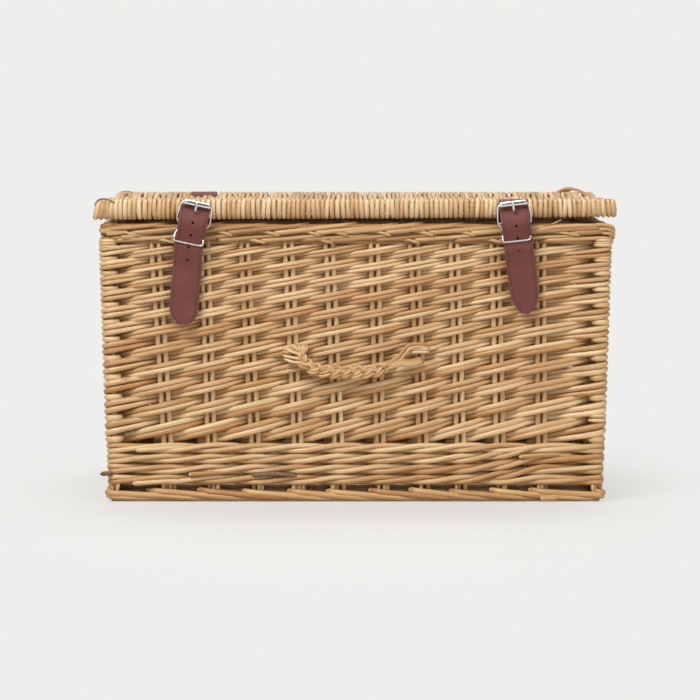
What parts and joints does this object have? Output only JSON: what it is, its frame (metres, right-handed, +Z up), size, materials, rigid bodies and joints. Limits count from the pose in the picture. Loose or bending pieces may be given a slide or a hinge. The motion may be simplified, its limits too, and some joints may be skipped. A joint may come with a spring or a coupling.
{
  "type": "wicker storage chest",
  "caption": "Oblong wicker chest with a hinged lid, leather closing straps with roller buckles, leather hinge loops and a plaited front handle.",
  "frame": {"origin": "centre of the bounding box's underside, on the floor the chest stands on", "axes": "+X along the front towards its right end, +Y from the front to the rear, +Z up"},
  "size_m": [0.4562, 0.3392, 0.2665],
  "materials": {
    "willow": "satin",
    "pale_willow": "satin",
    "dark_willow": "satin",
    "leather": "satin",
    "bright_wire": "polished"
  },
  "bodies": {
    "basket": {"foot_border": "dark_willow", "outer_wale": "willow", "inner_wale": "willow", "base_weave": "willow", "base_stick_1": "willow", "base_stick_2": "willow", "base_stick_3": "willow", "base_stick_4": "willow", "base_stick_5": "willow", "front_weave": "willow", "front_stakes": "pale_willow", "right_weave": "willow", "right_stakes": "pale_willow", "rear_weave": "willow", "rear_stakes": "pale_willow", "left_weave": "willow", "left_stakes": "pale_willow", "front_left_post": "pale_willow", "rear_left_post": "pale_willow", "front_right_post": "pale_willow", "rear_right_post": "pale_willow", "right_hinge_loop": "leather", "left_hinge_loop": "leather", "left_chape": "leather", "right_chape": "leather", "left_handle_tie": "willow", "right_handle_tie": "willow"},
    "lid": {"lid_weave": "pale_willow", "lid_front_stick": "dark_willow", "lid_rear_stick": "dark_willow", "lid_stick_1": "dark_willow", "lid_stick_2": "dark_willow", "lid_stick_3": "dark_willow", "lid_stick_4": "dark_willow", "lid_stick_5": "dark_willow"},
    "left_strap": {"left_strap": "leather"},
    "right_strap": {"right_strap": "leather"},
    "left_buckle": {"left_buckle_frame": "bright_wire"},
    "right_buckle": {"right_buckle_frame": "bright_wire"},
    "left_prong": {"left_prong": "bright_wire"},
    "right_prong": {"right_prong": "bright_wire"},
    "left_roller": {"left_roller": "bright_wire"},
    "right_roller": {"right_roller": "bright_wire"},
    "handle": {"front_handle": "willow"}
  },
  "joints": [
    {"name": "lid_hinge", "type": "hinge", "parent": "basket", "child": "lid", "pos_m": [0, 0.16119, 0.2581], "axis": [-1, 0, 0], "range_deg": [0, 180]},
    {"name": "left_strap_swing", "type": "hinge", "parent": "lid", "child": "left_strap", "pos_m": [-0.138, -0.15119, 0.2581], "axis": [1, 0, 0], "range_deg": [0, 90], "deforming": ["left_strap"]},
    {"name": "left_buckle_tilt", "type": "hinge", "parent": "basket", "child": "left_buckle", "pos_m": [-0.13952, -0.16099, 0.2467], "axis": [0.9912, 0, -0.1323], "range_deg": [0, 8]},
    {"name": "left_prong_swing", "type": "hinge", "parent": "left_buckle", "child": "left_prong", "pos_m": [-0.13952, -0.16099, 0.2467], "axis": [0.9912, 0, -0.1323], "range_deg": [0, 110]},
    {"name": "left_roller_spin", "type": "hinge", "parent": "left_buckle", "child": "left_roller", "pos_m": [-0.1374, -0.16459, 0.26256], "axis": [0.9912, 0, -0.1323], "continuous": true},
    {"name": "right_strap_swing", "type": "hinge", "parent": "lid", "child": "right_strap", "pos_m": [0.138, -0.15119, 0.2581], "axis": [1, 0, 0], "range_deg": [0, 90], "deforming": ["right_strap"]},
    {"name": "right_buckle_tilt", "type": "hinge", "parent": "basket", "child": "right_buckle", "pos_m": [0.13952, -0.16099, 0.2467], "axis": [0.9912, 0, 0.1323], "range_deg": [0, 8]},
    {"name": "right_prong_swing", "type": "hinge", "parent": "right_buckle", "child": "right_prong", "pos_m": [0.13952, -0.16099, 0.2467], "axis": [0.9912, 0, 0.1323], "range_deg": [0, 110]},
    {"name": "right_roller_spin", "type": "hinge", "parent": "right_buckle", "child": "right_roller", "pos_m": [0.1374, -0.16459, 0.26256], "axis": [0.9912, 0, 0.1323], "continuous": true},
    {"name": "handle_swing", "type": "hinge", "parent": "basket", "child": "handle", "pos_m": [0.00019, -0.15799, 0.134], "axis": [-1, 0, 0], "range_deg": [0, 160]}
  ],
  "couplings": [
    {"joint": "left_strap_swing", "follows": "lid_hinge", "ratio": 0.5},
    {"joint": "right_strap_swing", "follows": "lid_hinge", "ratio": 0.5}
  ]
}
